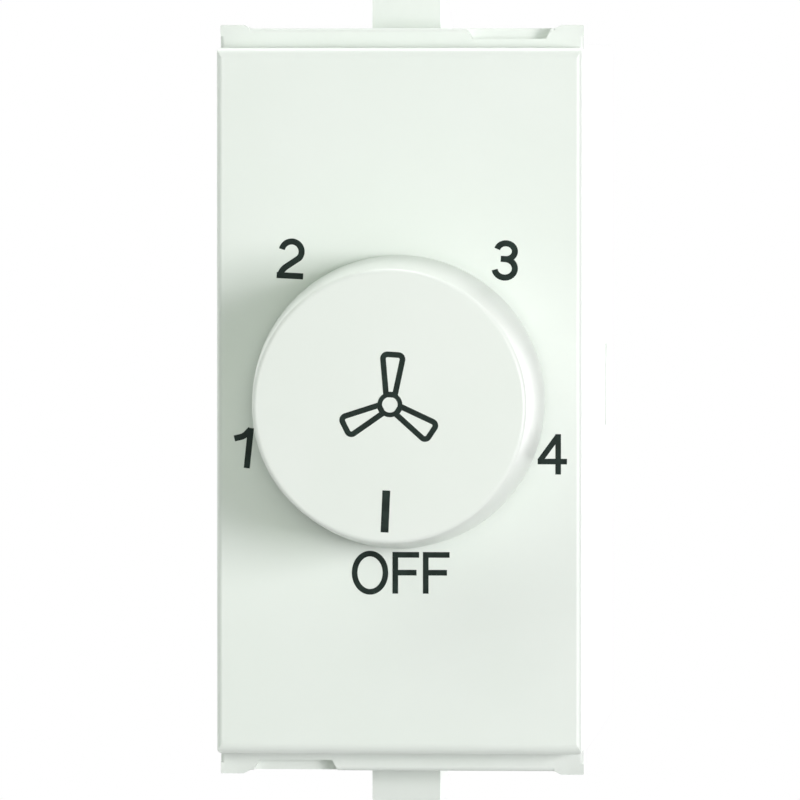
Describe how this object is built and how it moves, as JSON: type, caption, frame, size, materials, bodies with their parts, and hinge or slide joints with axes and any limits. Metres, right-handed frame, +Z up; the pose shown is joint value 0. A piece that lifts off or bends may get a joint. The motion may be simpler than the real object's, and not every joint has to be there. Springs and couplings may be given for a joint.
{
  "type": "fan speed control switch",
  "caption": "Modular rotary fan speed control: tapered knob on a rectangular face plate, flanged box with snap catches, and a stepped capacitor switch with screw terminals inside.",
  "frame": {"origin": "on the knob's axis, in the plane of the flange's rear face, which lies on the support frame", "axes": "+Y points back into the wall box and the front looks along -Y, +X is to the right seen from the front, +Z is up"},
  "size_m": [0.0222, 0.0547, 0.0508],
  "materials": {
    "face_white": "fine satin moulded polycarbonate",
    "knob_white": "satin moulded polycarbonate",
    "housing_white": "matt moulded thermoplastic",
    "switch_black": "matt black glass-filled nylon",
    "rotor_natural": "natural acetal",
    "spring_steel": "bright rolled spring steel",
    "bronze": "stamped phosphor bronze",
    "board": "brown paper laminate",
    "contact_metal": "silvered brass",
    "capacitor_case": "smooth yellow box case",
    "resistor_body": "pale blue lacquer",
    "brass": "machined brass",
    "screw_steel": "zinc-plated steel"
  },
  "bodies": {
    "root": {"face_plate": "face_white", "housing": "housing_white", "rear_cover": "housing_white", "switch_body": "switch_black", "detent_leaf": "spring_steel", "circuit_board": "board", "contact_common": "contact_metal", "contact_step_1": "contact_metal", "contact_step_2": "contact_metal", "contact_step_3": "contact_metal", "contact_step_4": "contact_metal", "board_rivets": "brass", "capacitor_large": "capacitor_case", "capacitor_small": "capacitor_case", "series_resistor_1": "resistor_body", "series_resistor_2": "resistor_body", "bleed_resistor_1": "resistor_body", "bleed_resistor_2": "resistor_body", "terminal_line": "brass", "terminal_load": "brass"},
    "rotor": {"knob": "knob_white", "knob_spring_clip": "spring_steel", "rotor_shaft": "rotor_natural", "wiper": "bronze"},
    "screw_line": {"terminal_screw_line": "screw_steel"},
    "screw_load": {"terminal_screw_load": "screw_steel"}
  },
  "joints": [
    {"name": "knob_turn", "type": "hinge", "parent": "root", "child": "rotor", "pos_m": [0, 0, 0], "axis": [0, 1, 0], "range_deg": [0, 288], "deforming": ["detent_leaf"]},
    {"name": "line_screw_clamp", "type": "slide", "parent": "root", "child": "screw_line", "axis": [0, -1, 0], "range_m": [0, 0.00255]},
    {"name": "load_screw_clamp", "type": "slide", "parent": "root", "child": "screw_load", "axis": [0, -1, 0], "range_m": [0, 0.00255]}
  ]
}
